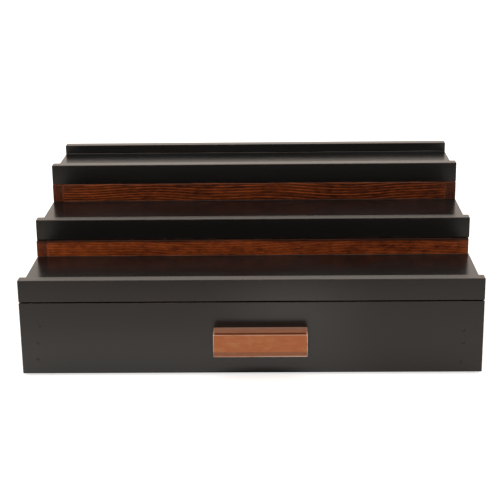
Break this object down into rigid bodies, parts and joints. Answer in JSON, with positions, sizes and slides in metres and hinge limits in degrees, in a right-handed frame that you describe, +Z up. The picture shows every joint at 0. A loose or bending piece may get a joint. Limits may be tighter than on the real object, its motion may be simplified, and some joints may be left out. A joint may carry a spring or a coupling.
{
  "type": "cologne display stand",
  "caption": "Stepped wooden display stand for bottles with lipped tiers, stained wood risers and a full-width drawer with a wooden pull.",
  "frame": {"origin": "on the table, below the centre of the whole stand's box, the pull included", "axes": "+Z up; -Y towards the user, the way the drawer opens; +X to the user's right"},
  "size_m": [0.3048, 0.2426, 0.1069],
  "materials": {
    "black_lacquer": "satin black-brown lacquer on wood",
    "stained_pine": "red-brown stained pine under clear lacquer",
    "pull_wood": "light red-brown stained wood under clear lacquer",
    "box_wood": "matte dark stain inside",
    "panel_board": "thin board, matte dark stain",
    "steel": "zinc plated",
    "brad_heads": "set and painted over",
    "felt": "dense black felt"
  },
  "bodies": {
    "stand": {"cabinet_left_side": "black_lacquer", "cabinet_right_side": "black_lacquer", "cabinet_back": "black_lacquer", "cabinet_floor": "panel_board", "cabinet_back_brads": "brad_heads", "cabinet_floor_brads": "steel", "bottom_shelf": "black_lacquer", "bottom_front_rail": "black_lacquer", "middle_riser_front": "stained_pine", "middle_left_strip": "stained_pine", "middle_right_strip": "stained_pine", "middle_back_strip": "stained_pine", "middle_shelf": "black_lacquer", "middle_front_rail": "black_lacquer", "top_riser_front": "stained_pine", "top_left_strip": "stained_pine", "top_right_strip": "stained_pine", "top_back_strip": "stained_pine", "top_shelf": "black_lacquer", "top_front_rail": "black_lacquer", "top_back_rail": "black_lacquer", "pad_front_left": "felt", "pad_front_right": "felt", "pad_back_left": "felt", "pad_back_right": "felt"},
    "drawer": {"drawer_front": "black_lacquer", "drawer_left_side": "box_wood", "drawer_right_side": "box_wood", "drawer_back": "box_wood", "drawer_floor": "panel_board", "drawer_handle": "pull_wood", "handle_screws": "steel", "drawer_front_brads": "brad_heads", "drawer_back_brads": "steel", "drawer_floor_brads": "steel"}
  },
  "joints": [
    {"name": "drawer_slide", "type": "slide", "parent": "stand", "child": "drawer", "axis": [0, -1, 0], "range_m": [0, 0.15]}
  ]
}
